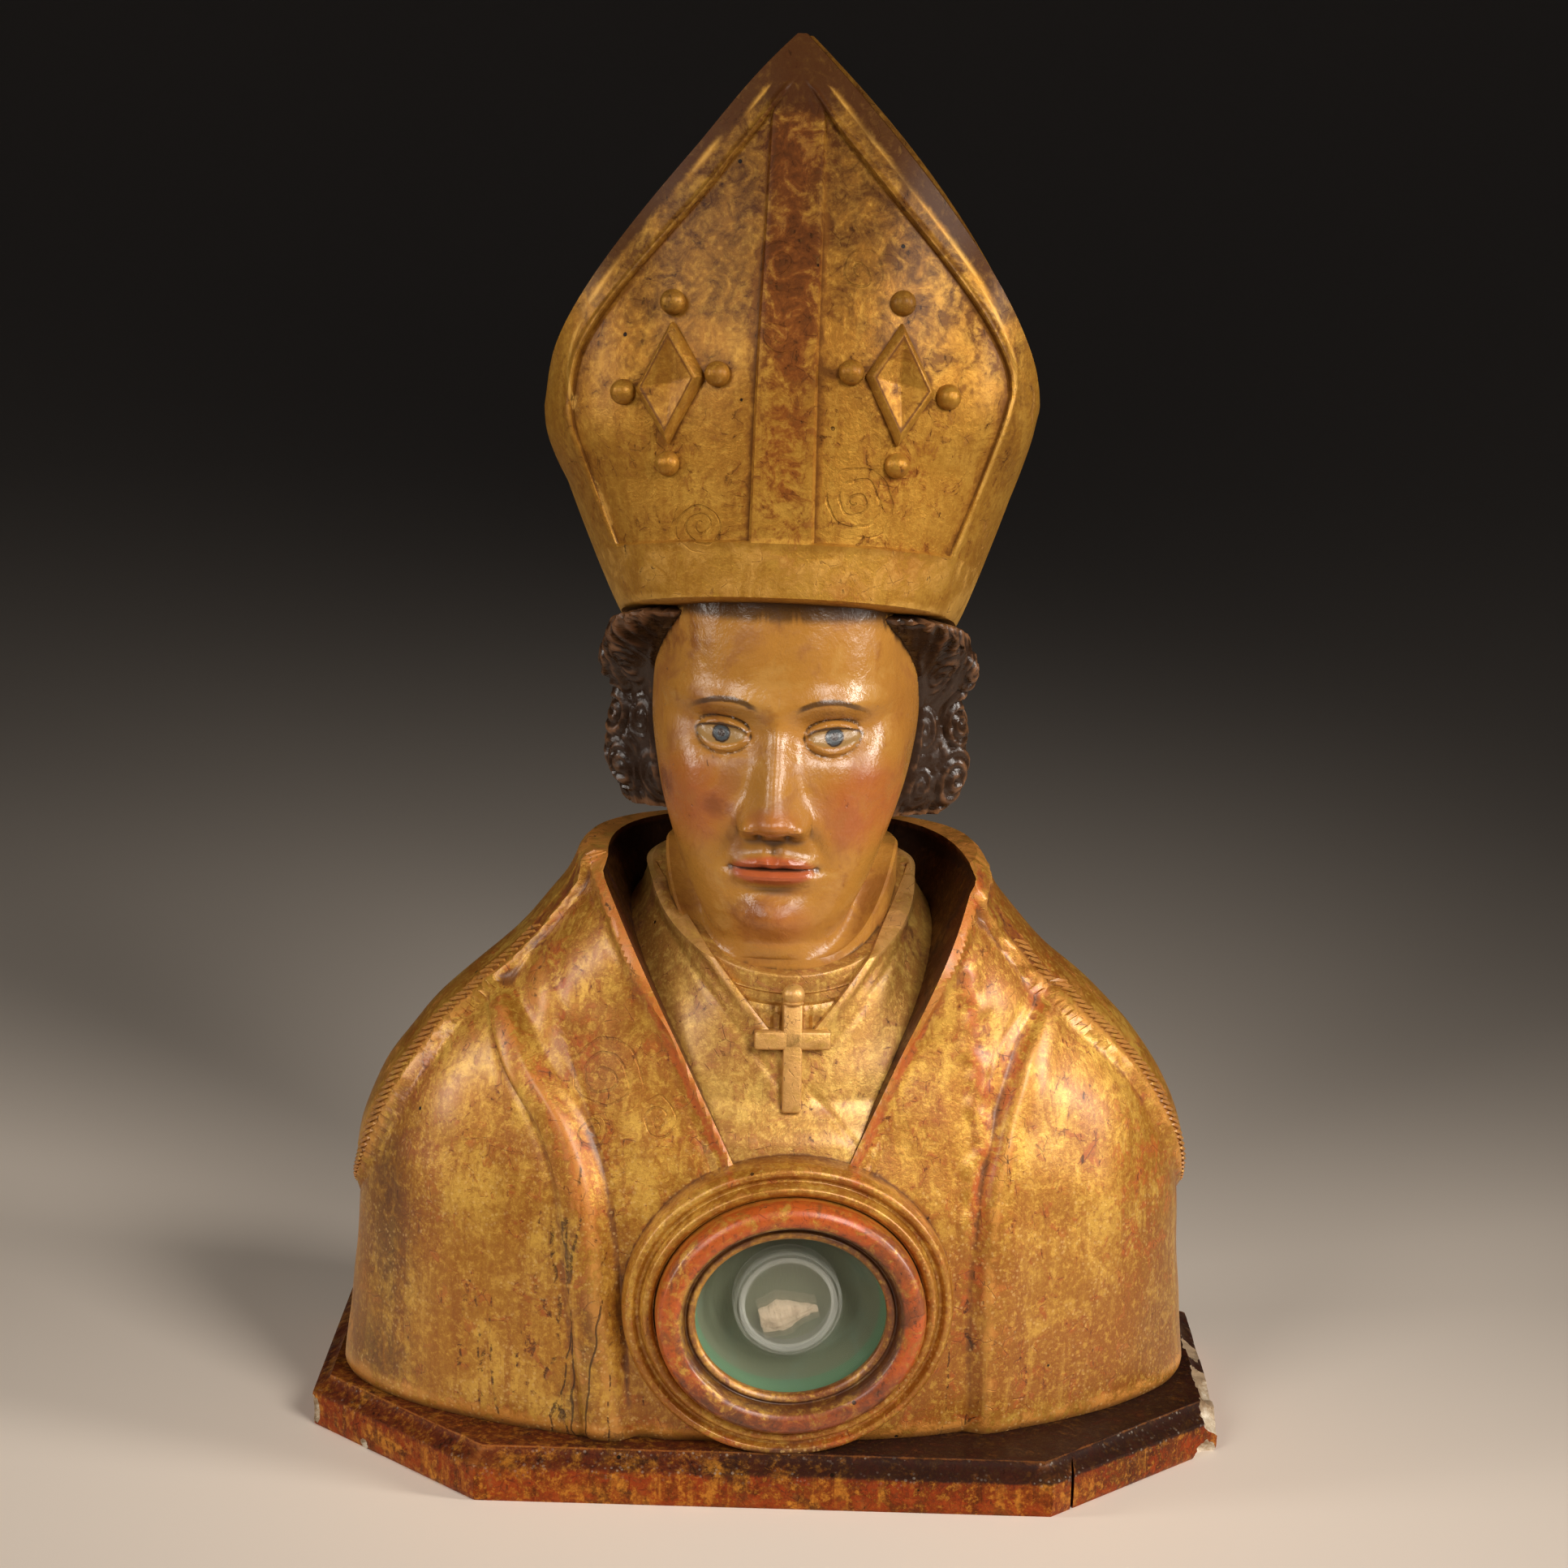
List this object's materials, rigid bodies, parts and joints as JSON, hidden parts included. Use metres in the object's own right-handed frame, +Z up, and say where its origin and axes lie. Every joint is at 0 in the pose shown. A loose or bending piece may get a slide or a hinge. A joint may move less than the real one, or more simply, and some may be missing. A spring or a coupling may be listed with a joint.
{
  "type": "reliquary bust",
  "caption": "Life-size carved reliquary bust of a bishop in mitre and cope, on a moulded plinth, with an oval glazed relic window in the chest.",
  "frame": {"origin": "middle of the plinth's underside, below the figure's axis", "axes": "+Z up, the figure faces -Y, +X to the right of someone who looks at its face"},
  "size_m": [0.5, 0.2738, 0.7584],
  "materials": {
    "gilded_wood": "aged water gilding over red bole on carved wood, with painted flesh and hair",
    "painted_plinth": "dark red-brown paint over white ground, rubbed gilding on the lower band",
    "gilded_frame": "rubbed gilding over red-orange bole",
    "clear_glass": "old clear glass",
    "green_lining": "matt green silk lining",
    "round_glass": "clear blown glass with a ground rim",
    "bone": "worn dry bone"
  },
  "bodies": {
    "root": {"bust": "gilded_wood", "plinth": "painted_plinth", "window_frame": "gilded_frame", "window_glass": "clear_glass", "relic_tray": "green_lining", "relic_capsule": "round_glass", "relic": "bone"}
  },
  "joints": []
}
